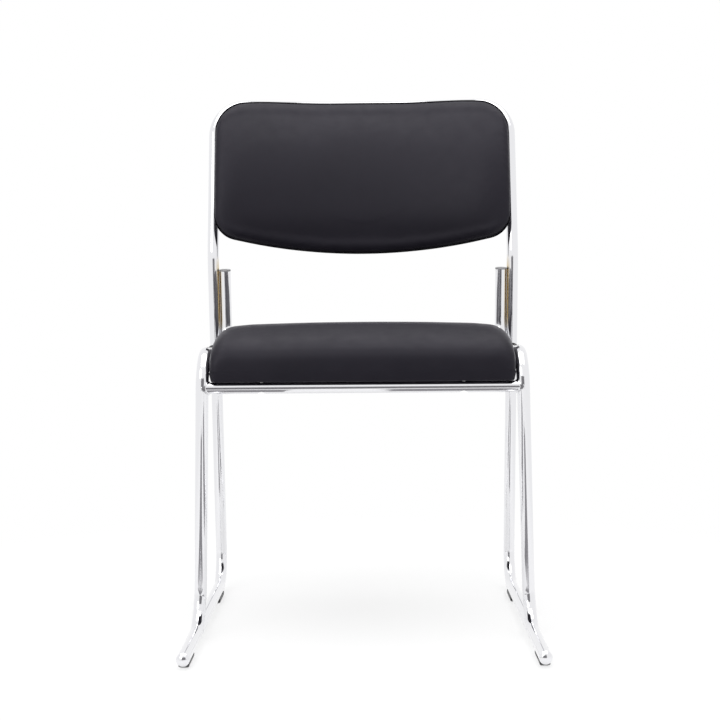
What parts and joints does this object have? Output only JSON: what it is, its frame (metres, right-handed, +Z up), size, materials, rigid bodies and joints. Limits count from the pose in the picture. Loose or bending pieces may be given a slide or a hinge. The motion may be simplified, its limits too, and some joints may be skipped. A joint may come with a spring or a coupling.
{
  "type": "visitor chair",
  "caption": "Armless stacking visitor chair on a chromed tube sled frame with a padded seat and a bowed padded backrest.",
  "frame": {"origin": "on the floor, midway between the toes' tips and the back of the top rail, on the chair's middle", "axes": "+Z up, the chair faces -Y, +X to its right as seen from the front"},
  "size_m": [0.495, 0.5582, 0.806],
  "materials": {
    "chromed_tube": "bright chrome plate",
    "grey_plastic": "satin moulded",
    "black_plastic": "satin moulded nylon",
    "black_rubber": "soft matt",
    "plywood": "raw birch plywood",
    "foam": "open cell seat foam",
    "black_leatherette": "soft semi-matt coated fabric with a fine grain",
    "black_panel": "coated fabric on a thin panel",
    "black_cloth": "non-woven",
    "zinc_steel": "zinc plated"
  },
  "bodies": {
    "root": {"back_hoop": "chromed_tube", "side_frame_left": "chromed_tube", "side_frame_right": "chromed_tube", "front_crossbar": "chromed_tube", "rear_crossbar": "chromed_tube", "toe_cap_left": "chromed_tube", "toe_cap_right": "chromed_tube", "back_bracket_left": "chromed_tube", "back_bracket_right": "chromed_tube", "rail_end_plug_left": "grey_plastic", "rail_end_plug_right": "grey_plastic", "front_glide_left": "black_plastic", "front_glide_right": "black_plastic", "rear_glide_left": "black_plastic", "rear_glide_right": "black_plastic", "stack_bumper_left": "black_rubber", "stack_bumper_right": "black_rubber", "seat_board": "plywood", "seat_foam": "foam", "seat_cover": "black_leatherette", "seat_underside_cloth": "black_cloth", "seat_tee_nuts": "zinc_steel", "seat_screws": "zinc_steel", "seat_saddle_washers": "black_plastic", "back_board": "plywood", "back_foam": "foam", "back_cover": "black_leatherette", "back_rear_panel": "black_panel", "back_tee_nuts": "zinc_steel", "back_screws": "zinc_steel", "back_washers": "zinc_steel"}
  },
  "joints": []
}
